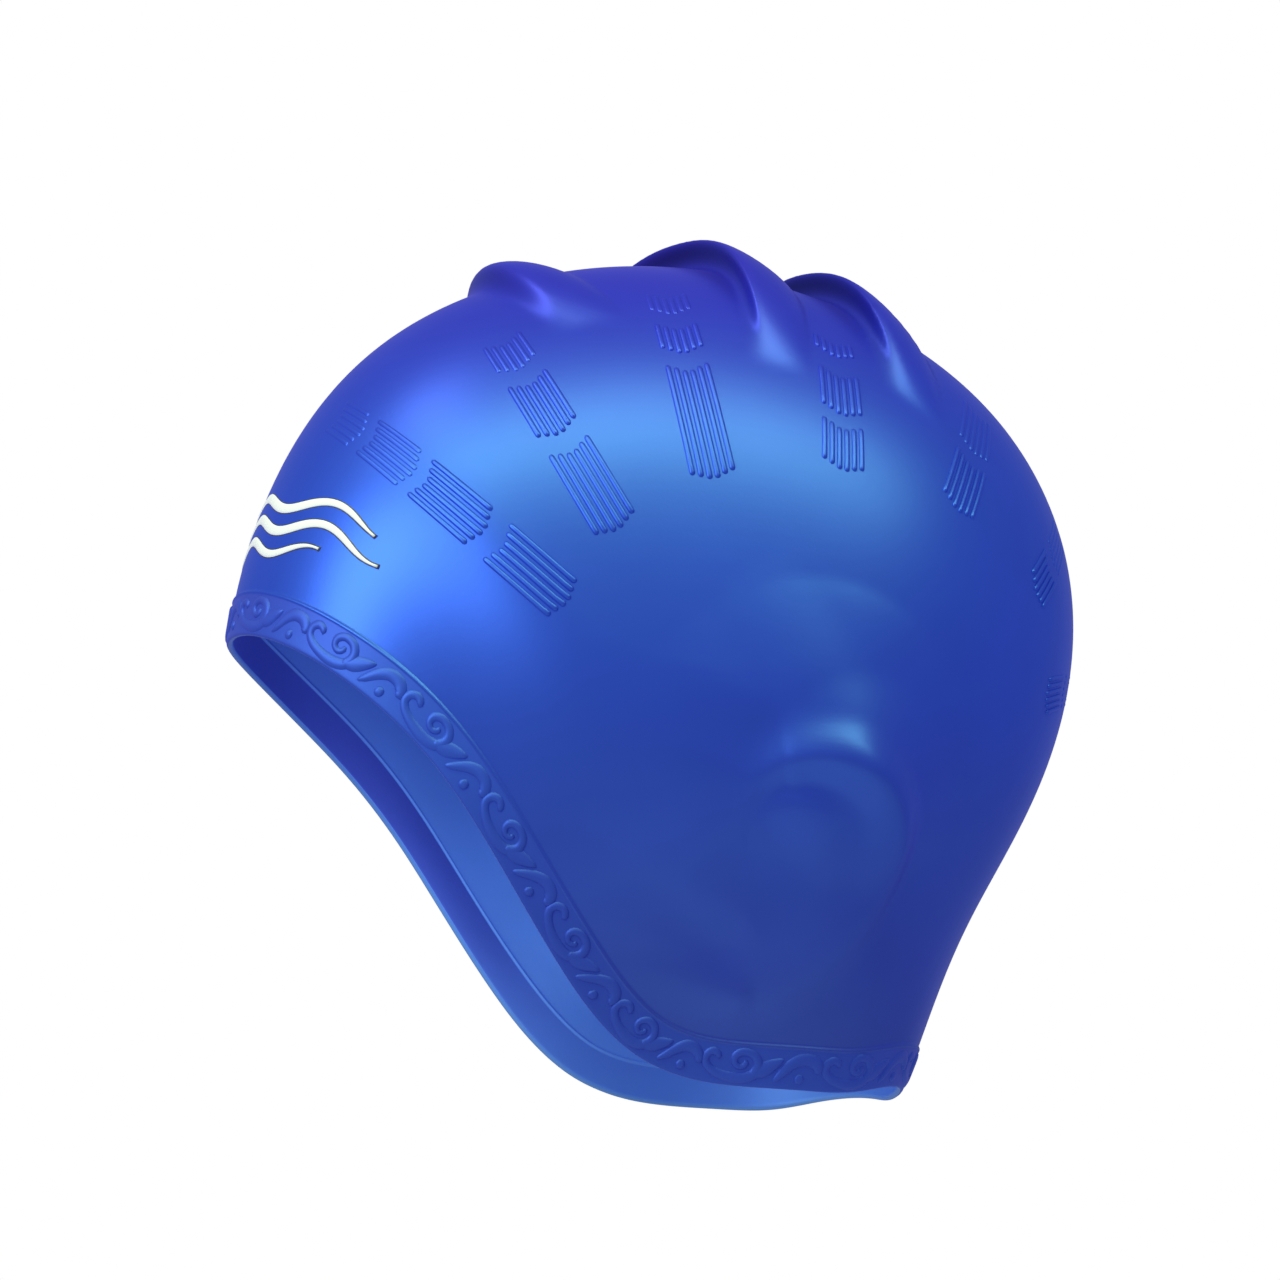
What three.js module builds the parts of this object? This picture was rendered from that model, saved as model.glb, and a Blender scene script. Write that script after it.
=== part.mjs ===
// Silicone swim cap for long hair, one moulding: a head-shaped shell with three folds across the crown,
// a domed pocket with an ear shape over each ear, and a thicker hem round the opening.
// Millimetres, +Z up, the face towards -Y, the wearer's left at +X. The cap stands as it is worn.
// The origin is the top of the head, where the inside of the crown sits between the folds.

import * as THREE from "three";

const WALL = 1.0; // silicone wall
const HEAD_TOP_TO_CENTRE = 120; // from the origin down to the centre that the shell is measured from
const HALF_WIDTH = 75; // centre to the side of the head, before the ear pocket
const FULLNESS = 2.15; // exponent of each section across the head: 2 is an ellipse

// The outline seen from the side: distance from the centre at each angle from straight up, backwards positive.
const OUTLINE_STEP = 20;
const OUTLINE = [
  { angle: -180, radius: 118 },
  { angle: -160, radius: 115 },
  { angle: -140, radius: 112 },
  { angle: -120, radius: 110 },
  { angle: -100, radius: 110 },
  { angle: -80, radius: 113.5 },
  { angle: -60, radius: 119.5 },
  { angle: -40, radius: 126 },
  { angle: -20, radius: 124.5 },
  { angle: 0, radius: HEAD_TOP_TO_CENTRE + WALL },
  { angle: 20, radius: 117.5 },
  { angle: 40, radius: 114 },
  { angle: 60, radius: 105 },
  { angle: 80, radius: 91.5 },
  { angle: 100, radius: 80 },
  { angle: 120, radius: 75.5 },
  { angle: 140, radius: 83.5 },
  { angle: 160, radius: 105 },
];

// The rim: how far round from straight up it lies at each azimuth from the face, and how much the
// elastic edge draws in sideways there.
const RIM_STEP = 15;
const RIM = [
  { azimuth: 0, fall: 76, tuck: 0.05 },
  { azimuth: 15, fall: 77, tuck: 0.065 },
  { azimuth: 30, fall: 83.5, tuck: 0.1 },
  { azimuth: 45, fall: 98.5, tuck: 0.17 },
  { azimuth: 60, fall: 129.5, tuck: 0.25 },
  { azimuth: 75, fall: 140, tuck: 0.27 },
  { azimuth: 90, fall: 143, tuck: 0.235 },
  { azimuth: 105, fall: 144, tuck: 0.18 },
  { azimuth: 120, fall: 145, tuck: 0.13 },
  { azimuth: 135, fall: 145, tuck: 0.09 },
  { azimuth: 150, fall: 146, tuck: 0.065 },
  { azimuth: 165, fall: 147.5, tuck: 0.05 },
  { azimuth: 180, fall: 148.5, tuck: 0.04 },
];
const TUCK_FROM = 0.55; // share of the way from crown to rim where the drawing in starts
const TUCK_OVER = 0.5;

// The folds lie in planes that fan out from a line through both ears. Angle as in OUTLINE but about that
// line: sweep bends both ends of a fold backwards, skew turns its left end back and its right end forward.
// Reach is from the middle to each end, front and back are the widths from crest to foot, height is above
// the shell, and lean is how far the crest curls over to the front. Row is the row of points on the crown
// patch that runs along the crest, counted backwards from its middle.
const FAN = { y: 13, z: -153 };
const FOLDS = [
  { angle: -21.8, sweep: 2.3, skew: 0.2, reach: 45, front: 10, back: 11, height: 5.8, lean: 3, row: -9 },
  { angle: -3, sweep: -3.4, skew: 5.4, reach: 53, front: 10, back: 9, height: 8.9, lean: 6, row: 1 },
  { angle: 8.6, sweep: 2.2, skew: 4.2, reach: 49, front: 10, back: 9.5, height: 9.2, lean: 6, row: 7 },
];
const FOLD_END_WIDTH = 0.9; // share of its width that a fold keeps at its ends

// The ear pocket: a tilted oval dome, crisp along its upper back edge between the angles round at.
const DOME = { y: 8, z: -132, long: 50, short: 43, lean: 35, bulge: 1.5, edge: 0.6 };
const DOME_EDGE = { at: 52, half: 48 };

// The ear in it, read round its middle from the back, upwards positive: the radius of its edge, how high the
// crest stands there, how wide the crest slopes outwards and inwards, the level inside it, and the dip
// under the crest.
const EAR = { y: 0, z: -146 };
const EAR_STEP = 30;
const EAR_EDGE = [
  { angle: -150, radius: 35, crest: 0, out: 8, in: 12, body: 0, dip: 0 },
  { angle: -120, radius: 34, crest: 0.3, out: 8, in: 12, body: 0, dip: 0 },
  { angle: -90, radius: 33.2, crest: 1.2, out: 8, in: 12, body: 0.6, dip: 0 },
  { angle: -60, radius: 31.3, crest: 2, out: 8, in: 12, body: 1.3, dip: 0 },
  { angle: -30, radius: 30.3, crest: 2.6, out: 7, in: 11, body: 1.8, dip: 0 },
  { angle: 0, radius: 32.5, crest: 3.6, out: 8, in: 10, body: 2, dip: 0 },
  { angle: 30, radius: 32, crest: 5, out: 13, in: 10, body: 1.6, dip: 0 },
  { angle: 60, radius: 25, crest: 2.8, out: 13, in: 10, body: 0.6, dip: 0.5 },
  { angle: 90, radius: 17, crest: 0.4, out: 14, in: 8, body: 0, dip: 0.2 },
  { angle: 120, radius: 14, crest: 0, out: 14, in: 10, body: 0, dip: 0 },
  { angle: 150, radius: 14, crest: 0, out: 14, in: 10, body: 0, dip: 0 },
];
const BOWL = { y: 4, z: -151, radius: 17, depth: 1.5 };
const SIDE = { from: 30, over: 15 }; // the pockets fade in over this distance from the middle

// Soft ridges and creases round the ear, highest where each line starts.
const EAR_LINES = [
  { name: "temple", from: { y: 16, z: -118 }, to: { y: -2, z: -84 }, half: 12, height: 1.2 },
  { name: "notch", from: { y: 0, z: -122 }, to: { y: -28, z: -110 }, half: 10, height: -0.8 },
  { name: "cheek", from: { y: -4, z: -166 }, to: { y: -34, z: -150 }, half: 8, height: -0.9 },
  { name: "lobe", from: { y: 0, z: -178 }, to: { y: -26, z: -171 }, half: 5, height: 0.9 },
];

// The hem: width of the band, and how far it stands out on each face.
const HEM = { width: 10.5, out: 0.35, in: 0.25, step: 0.8 };

// Facets: points round the rim, a multiple of 8, rows from the square crown patch to the hem, the patch's
// half width in degrees, and how far the columns crowd together at the ears.
const AROUND = 88;
const ROWS = 24;
const CROWN_PATCH = 27;
const CROWDING = 11;

const NORMAL_STEP = 0.005; // radians between the points that a normal is taken from
const TURNS = 4; // rounds of correction that find a point on the shell

const rad = THREE.MathUtils.degToRad;
const deg = THREE.MathUtils.radToDeg;
const clamp = THREE.MathUtils.clamp;
const centre = new THREE.Vector3(0, 0, -HEAD_TOP_TO_CENTRE);

// Smooth uniform cubic spline close to a table's values, closed on itself or mirrored at both ends.
function readTable(rows, column, position, closed) {
  const n = rows.length;
  const at = (i) => {
    if (closed) return rows[((i % n) + n) % n][column];
    const inside = i < 0 ? -i : i > n - 1 ? 2 * (n - 1) - i : i;
    return rows[inside][column];
  };
  const sharpened = (i) => at(i) + (2 * at(i) - at(i - 1) - at(i + 1)) / 6;
  const i = Math.floor(position);
  const t = position - i;
  return (
    ((1 - t) ** 3 * sharpened(i - 1) +
      (3 * t ** 3 - 6 * t ** 2 + 4) * sharpened(i) +
      (-3 * t ** 3 + 3 * t ** 2 + 3 * t + 1) * sharpened(i + 1) +
      t ** 3 * sharpened(i + 2)) /
    6
  );
}

const smooth = (x) => THREE.MathUtils.smoothstep(x, 0, 1);
const bump = (x, power) => (Math.abs(x) < 1 ? (1 - x * x) ** power : 0);

function rimAt(azimuth, column) {
  const around = Math.abs(((((azimuth + 180) % 360) + 360) % 360) - 180);
  const position = Math.min(around / RIM_STEP, RIM.length - 1 - 1e-9);
  return readTable(RIM, column, position, false);
}

// A direction from the centre. Azimuth is from the face towards the left ear, fall is from straight up.
function toward(azimuth, fall) {
  const a = rad(azimuth);
  const f = rad(fall);
  return new THREE.Vector3(Math.sin(f) * Math.sin(a), -Math.sin(f) * Math.cos(a), Math.cos(f));
}

// The point of the plain shell's outer face that lies in a direction from the centre.
function shellPoint(direction) {
  const { x: across, y: back, z: up } = direction;
  const angle = deg(Math.atan2(back, up));
  const outline = readTable(OUTLINE, "radius", (angle - OUTLINE[0].angle) / OUTLINE_STEP, true);
  const section = (Math.hypot(back, up) / outline) ** FULLNESS + (Math.abs(across) / HALF_WIDTH) ** FULLNESS;
  const radius = section ** (-1 / FULLNESS);
  const azimuth = deg(Math.atan2(across, -back));
  const share = deg(Math.acos(clamp(up, -1, 1))) / rimAt(azimuth, "fall");
  const draw = 1 - rimAt(azimuth, "tuck") * smooth((share - TUCK_FROM) / TUCK_OVER);
  return new THREE.Vector3(across * draw, back, up).multiplyScalar(radius).add(centre);
}

// The outward unit normal of a face given as a function of direction, from points a small step apart.
function normalOf(face, direction) {
  const sideways = Math.abs(direction.x) > Math.abs(direction.y);
  const helper = sideways ? new THREE.Vector3(0, 1, 0) : new THREE.Vector3(1, 0, 0);
  const first = helper.cross(direction).normalize().multiplyScalar(NORMAL_STEP);
  const second = direction.clone().cross(first);
  const along = (offset) => face(direction.clone().add(offset).normalize());
  const one = along(first).sub(along(first.clone().negate()));
  const two = along(second).sub(along(second.clone().negate()));
  return one.cross(two).normalize();
}

// Where point p lies beside a fold: its share of the way to the fold's end, its distance from the fan's
// line, and the angle that it lies behind the crest.
function besideFold(p, fold) {
  const back = p.y - FAN.y;
  const up = p.z - FAN.z;
  const across = clamp(p.x / fold.reach, -1, 1);
  const along = Math.abs(across);
  const crest = fold.angle + fold.skew * Math.sin((across * Math.PI) / 2) + fold.sweep * along ** 2;
  return { along, distance: Math.hypot(back, up), behind: rad(deg(Math.atan2(back, up)) - crest) };
}

// Height of the folds above the shell at point p, and how far their crests curl over there, as a vector.
function foldRise(p) {
  let rise = 0;
  let shift = 0;
  for (const fold of FOLDS) {
    const { along, distance, behind } = besideFold(p, fold);
    const narrow = FOLD_END_WIDTH + (1 - FOLD_END_WIDTH) * (1 - along ** 2);
    const off = (behind * distance) / narrow;
    const profile = off < 0 ? bump(off / fold.front, 2) : bump(off / fold.back, 1.2);
    const share = (1 - along ** 4) ** 1.3 * profile;
    if (fold.height * share > rise) {
      rise = fold.height * share;
      shift = fold.lean * share * Math.sqrt(profile);
    }
  }
  const forward = new THREE.Vector3(0, FAN.z - p.z, p.y - FAN.y).normalize();
  return { rise, lean: forward.multiplyScalar(shift) };
}

// Distance of point p from a form's middle, seen from the side, and the angle round it from the back.
function bearing(p, form) {
  const back = p.y - form.y;
  const up = p.z - form.z;
  return { distance: Math.hypot(back, up), around: deg(Math.atan2(up, back)) };
}

function domeRise(p) {
  const { distance, around } = bearing(p, DOME);
  const offLong = rad(around - (90 - DOME.lean));
  const reach = Math.hypot(Math.cos(offLong) / DOME.long, Math.sin(offLong) / DOME.short);
  const share = Math.min(distance * reach, 1);
  const crisp = bump((around - DOME_EDGE.at) / DOME_EDGE.half, 1);
  return DOME.bulge * bump(share, 1.5) + DOME.edge * crisp * (1 - share ** 12);
}

function lineRise(p, { from, to, half, height }) {
  const run = { y: to.y - from.y, z: to.z - from.z };
  const walked = (p.y - from.y) * run.y + (p.z - from.z) * run.z;
  const share = clamp(walked / (run.y ** 2 + run.z ** 2), 0, 1);
  const off = Math.hypot(p.y - from.y - share * run.y, p.z - from.z - share * run.z);
  return height * (1 - share) * bump(off / half, 2);
}

// Height of the ear pocket above the shell at point p.
function earRise(p) {
  const side = smooth((Math.abs(p.x) - SIDE.from) / SIDE.over);
  if (side === 0) return 0;
  const { distance, around } = bearing(p, EAR);
  const last = EAR_EDGE.length - 1 - 1e-9;
  const position = clamp((around - EAR_EDGE[0].angle) / EAR_STEP, 0, last);
  const edge = (column) => readTable(EAR_EDGE, column, position, false);
  const beyond = distance - edge("radius");
  const slope = beyond > 0 ? bump(beyond / edge("out"), 2) : bump(beyond / edge("in"), 2);
  const body = edge("body");
  const level = beyond > 0 ? slope : clamp(distance / edge("radius"), 0, 1) ** 1.5;
  const dip = edge("dip") * bump(1 + beyond / edge("in"), 2);
  const bowl = BOWL.depth * bump(bearing(p, BOWL).distance / BOWL.radius, 1.5);
  const lines = EAR_LINES.reduce((sum, line) => sum + lineRise(p, line), 0);
  return (domeRise(p) + body * level + (edge("crest") - body) * slope - dip - bowl + lines) * side;
}

// The outer face with its folds and ear pockets, without the hem.
function outerPoint(direction) {
  const p = shellPoint(direction);
  const fold = foldRise(p);
  const rise = fold.rise + earRise(p);
  return p.addScaledVector(normalOf(shellPoint, direction), rise).add(fold.lean);
}

// The rim's direction at an azimuth, and the direction of the point that lies a distance up the shell
// from there, square to the rim.
const rimToward = (azimuth) => toward(azimuth, rimAt(azimuth, "fall"));
function aboveRim(azimuth, distance) {
  const edge = shellPoint(rimToward(azimuth));
  const along = shellPoint(rimToward(azimuth + 0.5)).sub(shellPoint(rimToward(azimuth - 0.5)));
  const upShell = along.cross(normalOf(shellPoint, rimToward(azimuth))).normalize();
  const target = edge.clone().addScaledVector(upShell.z < 0 ? upShell.negate() : upShell, distance);
  const direction = rimToward(azimuth);
  for (let turn = 0; turn < TURNS; turn++) {
    const miss = target.clone().sub(shellPoint(direction));
    direction.addScaledVector(miss, 1 / shellPoint(direction).distanceTo(centre)).normalize();
  }
  return direction;
}

// Rows of the hem from its top down, as distance above the rim and depth from the shell's outer face.
const bare = { out: 0, in: WALL };
const thick = { out: -HEM.out, in: WALL + HEM.in };
const hemRows = [
  { above: HEM.width + HEM.step, ...bare },
  { above: HEM.width, ...thick },
  { above: HEM.width / 2, ...thick },
  { above: HEM.out + HEM.in, ...thick },
];

// Azimuth of a column of points, crowded towards the ears.
function columnAzimuth(k) {
  const even = (360 * k) / AROUND;
  return even + CROWDING * Math.sin(2 * rad(even));
}

const turnedBack = (direction, turn) => direction.clone().applyAxisAngle(new THREE.Vector3(1, 0, 0), -turn);

// The turn about the line through the centre that brings a direction onto a fold's crest.
function turnToCrest(direction, fold) {
  let total = 0;
  for (let turn = 0; turn < TURNS; turn++) {
    const p = shellPoint(turnedBack(direction, total));
    const { distance, behind } = besideFold(p, fold);
    total -= (behind * distance) / p.distanceTo(centre);
  }
  return total;
}

// Directions of the square crown patch, with rows of points along the folds' crests.
function patchDirections(cells) {
  const directions = [];
  for (let i = 0; i <= cells; i++) {
    const line = [];
    for (let j = 0; j <= cells; j++) {
      const x = Math.SQRT2 * Math.sin(rad(90 * (i / cells) - 45));
      const y = Math.SQRT2 * Math.sin(rad(90 * (j / cells) - 45));
      const across = x * Math.sqrt(1 - y ** 2 / 2);
      const back = y * Math.sqrt(1 - x ** 2 / 2);
      const out = Math.hypot(across, back);
      const even = Math.atan2(across, -back);
      const azimuth = deg(even) + CROWDING * out ** 2 * Math.sin(2 * even);
      line.push(toward(azimuth, CROWN_PATCH * out));
    }
    const knots = FOLDS.map((fold) => {
      const j = cells / 2 + fold.row;
      return { j, turn: turnToCrest(line[j], fold) };
    });
    knots.unshift({ j: 0, turn: 0 });
    knots.push({ j: cells, turn: 0 });
    line.forEach((direction, j) => {
      const k = Math.max(1, knots.findIndex((knot) => knot.j >= j));
      const share = (j - knots[k - 1].j) / (knots[k].j - knots[k - 1].j);
      directions.push(turnedBack(direction, THREE.MathUtils.lerp(knots[k - 1].turn, knots[k].turn, share)));
    });
  }
  return directions;
}

// One face of the cap as rows of points: the square crown patch first, then rings down to the hem.
function faceRows(depth, side) {
  const place = (direction, below) => {
    const p = outerPoint(direction);
    return below === 0 ? p : p.addScaledVector(normalOf(outerPoint, direction), -below);
  };
  const cells = AROUND / 4;
  const directions = patchDirections(cells);
  const patch = directions.map((direction) => place(direction, depth));
  const border = borderOf(cells).map((i) => directions[i]);
  const rings = [];
  const columns = Array.from({ length: AROUND }, (_, k) => columnAzimuth(k));
  for (let row = 1; row <= ROWS; row++)
    rings.push(
      columns.map((azimuth, k) => {
        const end = aboveRim(azimuth, hemRows[0].above);
        const turn = border[k].angleTo(end);
        const share = row / ROWS;
        const direction = border[k]
          .clone()
          .multiplyScalar(Math.sin(turn * (1 - share)))
          .addScaledVector(end, Math.sin(turn * share))
          .normalize();
        return place(direction, depth);
      }),
    );
  for (const row of hemRows.slice(1))
    rings.push(columns.map((azimuth) => place(aboveRim(azimuth, row.above), row[side])));
  return { patch, rings };
}

// The patch's border points in order of azimuth, matching the points of a ring.
function borderOf(cells) {
  const at = (i, j) => i * (cells + 1) + j;
  const border = [];
  for (let k = 0; k < cells; k++) border.push(at(k, 0));
  for (let k = 0; k < cells; k++) border.push(at(cells, k));
  for (let k = 0; k < cells; k++) border.push(at(cells - k, cells));
  for (let k = 0; k < cells; k++) border.push(at(0, cells - k));
  const half = cells / 2; // azimuth 0 is the middle of the side j = 0
  return [...border.slice(half), ...border.slice(0, half)];
}

function capGeometry() {
  const points = [];
  const triangles = [];
  const cells = AROUND / 4;
  const quad = (a, b, c, d, flip) => {
    const near = points[a].distanceTo(points[c]) < points[b].distanceTo(points[d]);
    const two = near ? [[a, b, c], [a, c, d]] : [[a, b, d], [b, c, d]];
    for (const t of two) triangles.push(...(flip ? t.reverse() : t));
  };
  const stitch = (upper, lower, flip) => {
    for (let k = 0; k < AROUND; k++) {
      const next = (k + 1) % AROUND;
      quad(upper[k], lower[k], lower[next], upper[next], flip);
    }
  };
  const addFace = ({ patch, rings }, flip) => {
    const first = points.length;
    points.push(...patch);
    for (let i = 0; i < cells; i++)
      for (let j = 0; j < cells; j++) {
        const a = first + i * (cells + 1) + j;
        quad(a, a + cells + 1, a + cells + 2, a + 1, flip);
      }
    let last = borderOf(cells).map((i) => first + i);
    for (const ring of rings) {
      const start = points.length;
      points.push(...ring);
      const indices = ring.map((_, k) => start + k);
      stitch(last, indices, flip);
      last = indices;
    }
    return last;
  };
  const outerEdge = addFace(faceRows(0, "out"), false);
  const innerEdge = addFace(faceRows(WALL, "in"), true);
  const edge = Array.from({ length: AROUND }, (_, k) => {
    const direction = rimToward(columnAzimuth(k));
    points.push(outerPoint(direction).addScaledVector(normalOf(outerPoint, direction), -WALL / 2));
    return points.length - 1;
  });
  stitch(outerEdge, edge, false);
  stitch(edge, innerEdge, false);
  const geometry = new THREE.BufferGeometry().setFromPoints(points);
  geometry.setIndex(triangles);
  geometry.computeVertexNormals();
  return geometry;
}

const silicone = new THREE.MeshStandardMaterial({ color: 0x2b4fc4, roughness: 0.4 });

function swimCap() {
  const cap = new THREE.Mesh(capGeometry(), silicone);
  cap.name = "cap_shell";
  return cap;
}

const group = new THREE.Group();
group.add(swimCap());
export default group;
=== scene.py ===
import math

import bpy
import numpy as np
from mathutils import Matrix, Vector


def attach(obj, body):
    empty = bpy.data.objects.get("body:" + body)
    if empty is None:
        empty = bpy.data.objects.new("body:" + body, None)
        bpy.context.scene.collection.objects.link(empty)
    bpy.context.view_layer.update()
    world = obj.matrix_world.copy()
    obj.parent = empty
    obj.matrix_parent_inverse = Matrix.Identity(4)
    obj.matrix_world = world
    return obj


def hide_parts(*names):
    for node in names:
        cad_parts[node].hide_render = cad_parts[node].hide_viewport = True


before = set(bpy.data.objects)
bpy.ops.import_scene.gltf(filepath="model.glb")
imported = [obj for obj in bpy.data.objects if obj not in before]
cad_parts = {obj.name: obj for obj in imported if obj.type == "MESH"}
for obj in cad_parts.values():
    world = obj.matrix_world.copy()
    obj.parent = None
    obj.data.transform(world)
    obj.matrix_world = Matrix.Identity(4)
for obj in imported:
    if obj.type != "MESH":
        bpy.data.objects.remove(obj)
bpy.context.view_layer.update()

# A silicone swim cap for long hair, in one moulding, shaped as worn. The shell stands for the frame's
# cap_shell at a finer mesh, from the same named sizes apart from the lean and the back of some folds and
# the relief of the ear. Ribs, hem ornament and print are raised on it as closed pieces of their own.
# Sizes are in millimetres in the frame's axes: +Z up, face towards -Y, left ear at +X.

MM = 0.001
BODY = "root"
NODE = "cap_shell"

WALL = 1.0
CENTRE = np.array([0.0, 0.0, -120.0])
CROWN_RADIUS = -CENTRE[2] + WALL
HALF_WIDTH = 75.0
FULLNESS = 2.15

# Side outline: distance from the centre, by angle from straight up, backwards positive.
OUTLINE_STEP = 20
OUTLINE = {
    -180: 118, -160: 115, -140: 112, -120: 110, -100: 110, -80: 113.5, -60: 119.5, -40: 126, -20: 124.5,
    0: CROWN_RADIUS, 20: 117.5, 40: 114, 60: 105, 80: 91.5, 100: 80, 120: 75.5, 140: 83.5, 160: 105,
}

# The rim by azimuth from the face: its angle from straight up, and the share by which the shell draws in
# sideways there. The drawing in starts part of the way down to the rim, and is full after a further part.
RIM_STEP = 15
RIM_FALL = {
    0: 76, 15: 77, 30: 83.5, 45: 98.5, 60: 129.5, 75: 140, 90: 143, 105: 144, 120: 145, 135: 145, 150: 146,
    165: 147.5, 180: 148.5,
}
RIM_TUCK = {
    0: 0.05, 15: 0.065, 30: 0.1, 45: 0.17, 60: 0.25, 75: 0.27, 90: 0.235, 105: 0.18, 120: 0.13, 135: 0.09,
    150: 0.065, 165: 0.05, 180: 0.04,
}
TUCK_FROM = 0.55
TUCK_OVER = 0.5

# Powers for the shapes of bumps: a higher one has a narrower top and a softer foot.
CRISP = 1
STEEP = 1.2
ROUND = 1.5
SOFT = 2
SOFTEST = 3

# The crown folds, in planes that fan out from a line through both ears. A crest's angle is from straight up,
# backwards positive: sweep bends both its ends, skew turns its left end back and its right end forward. Reach
# is how far it runs to each side, and front and back are the widths of its two flanks.
FOLD_FAN = {"y": 13.0, "z": -153.0}
FOLDS = [
    {
        "angle": -21.8, "sweep": 2.3, "skew": 0.2, "reach": 45,
        "front": 10, "back": 11, "height": 5.8, "lean": 3.0,
    },
    {
        "angle": -3.0, "sweep": -3.4, "skew": 5.4, "reach": 53,
        "front": 10, "back": 8, "height": 8.9, "lean": 9.5,
    },
    {
        "angle": 8.6, "sweep": 2.2, "skew": 4.2, "reach": 49,
        "front": 10, "back": 9.5, "height": 9.2, "lean": 9.5,
    },
]
# How a fold runs out: its share of full width at its ends, and the two powers of its fall in height.
FOLD_END = {"width": 0.9, "late": 4, "blunt": 1.3}
# Painted shade in the hollow under a crest: how far ahead of it, half its width, and the fold height that
# makes it full.
PAINTED_HOLLOW = {"ahead": 5.0, "half": 5.0, "height": 9.0}

# The ear pocket's oval dome, and the crisp stretch of its edge by angle round it.
DOME = {"y": 8.0, "z": -132.0, "long": 50.0, "short": 43.0, "lean": 35.0, "bulge": 1.5, "edge": 0.5}
DOME_EDGE = {"at": 52.0, "half": 48.0, "steep": 12}

# The ear in it: its edge by angle round the ear from the back, upwards positive. Out and in are the widths
# of the crest's two flanks, body is the ear's height inside the edge, and dip a groove inside the crest.
EAR = {"y": 0.0, "z": -146.0, "dish": 1.5}
EAR_FROM = -150
EAR_STEP = 30
EAR_COLUMNS = ("radius", "crest", "out", "in", "body", "dip")
EAR_EDGE = {
    -150: (35, 0, 9, 12, 0, 0),
    -120: (34, 0.3, 9, 12, 0, 0),
    -90: (33.2, 1.2, 9, 12, 0.6, 0),
    -60: (31.3, 2, 8, 12, 1.3, 0),
    -30: (30.3, 2.7, 7.5, 11, 1.8, 0),
    0: (33, 3.3, 8, 10, 2, 0),
    30: (33, 3.8, 11, 8.5, 1.6, 0.6),
    60: (24.5, 2.4, 12, 7.5, 0.6, 1),
    90: (17, 0.3, 13, 9, 0, 0.2),
    120: (14, 0, 14, 10, 0, 0),
    150: (14, 0, 14, 10, 0, 0),
}
EAR_ROUNDS = [
    {"name": "bowl", "y": 4.0, "z": -151.0, "radius": 17.0, "height": -1.5},
    {"name": "shoulder", "y": 27.0, "z": -131.0, "radius": 26.0, "height": 4.0},
]
# Soft ridges and creases beside the ear, as lines on the side of the head.
EAR_LINES = [
    {"name": "temple", "from": (25.0, -124.0), "to": (-2.0, -84.0), "half": 14.0, "height": 1.3},
    {"name": "notch", "from": (0.0, -122.0), "to": (-28.0, -110.0), "half": 10.0, "height": -0.8},
    {"name": "cheek", "from": (-4.0, -166.0), "to": (-34.0, -150.0), "half": 8.0, "height": -0.9},
    {"name": "lobe", "from": (0.0, -178.0), "to": (-26.0, -171.0), "half": 5.0, "height": 0.9},
]
# The pocket fades in with the distance from the cap's middle plane.
EAR_FADE = {"from": 30, "over": 15}

# The hem band and the thin line along its top, on both faces of the wall. The band's thickness starts a
# lead above its top and is full after a step. The line's rows are in its half widths above its middle, and
# the band's run on down to the rim's edge, which has points and faces of its own.
HEM = {"width": 10.5, "out": 0.35, "in": 0.25, "lead": 0.4, "step": 0.8}
HEM_LINE = {"half": 0.55, "height": 0.3, "rows": (1.6, 1.0, 0.7, 0.35, 0.0, -0.35, -0.7, -1.0, -1.5)}
HEM_BAND = {"below_top": 1.6, "above_rim": 1.4, "rows": 5}
EDGE_POINTS = 9
EDGE_ROWS = 5
TOP_LINE_ROWS = len(HEM_LINE["rows"]) - 1

# Mesh density: columns round the rim (a multiple of 8), rows from the crown patch to the hem. The patch
# ends at an angle from straight up, and the columns crowd by an angle towards the sides.
COLUMNS = 400
OUTER_ROWS = 92
INNER_ROWS = 60
CROWN_PATCH = 27.0
CROWDING = 11.0

# Keeps a position inside a table's last row.
JUST_UNDER = 1e-9
# A unit vector is nearly along an axis when its share of it is over this.
NEARLY_ALONG = 0.7
# Half steps for slopes: of a direction for normals, and in degrees round the rim.
NORMAL_STEP = 0.004
RIM_NUDGE = 0.5
# Rounds of the search for a point at a distance above the rim.
RIM_ROUNDS = 5


def smooth(x):
    x = np.clip(x, 0, 1)
    return x * x * (3 - 2 * x)


def bump(x, power):
    return np.clip(1 - np.asarray(x, float) ** 2, 0, None) ** power


def table_values(values, position, closed):
    """Smooth cubic spline near a table's values; position counts rows from the first one."""
    values = np.array(list(values), float)
    count = len(values)
    rows = np.arange(count)
    if not closed:
        position = np.clip(position, 0, count - 1 - JUST_UNDER)

    def wrap(i):
        if closed:
            return i % count
        return np.where(i < 0, -i, np.where(i > count - 1, 2 * (count - 1) - i, i))

    bend = 2 * values - values[wrap(rows - 1)] - values[wrap(rows + 1)]
    sharpened = values + bend / 6
    i = np.floor(position).astype(int)
    t = position - i
    weights = ((1 - t) ** 3, 3 * t**3 - 6 * t**2 + 4, -3 * t**3 + 3 * t**2 + 3 * t + 1, t**3)
    return sum(w * sharpened[wrap(i + k - 1)] for k, w in enumerate(weights)) / 6


def rim_values(table, azimuth):
    around = np.abs((azimuth + 180) % 360 - 180)
    return table_values(table.values(), around / RIM_STEP, False)


def toward(azimuth, fall):
    """Unit directions from the centre: azimuth from the face to the left ear, fall from straight up."""
    a, f = np.radians(azimuth), np.radians(fall)
    return np.stack([np.sin(f) * np.sin(a), -np.sin(f) * np.cos(a), np.cos(f) + 0 * a], -1)


def unit(v):
    return v / np.linalg.norm(v, axis=-1, keepdims=True)


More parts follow.
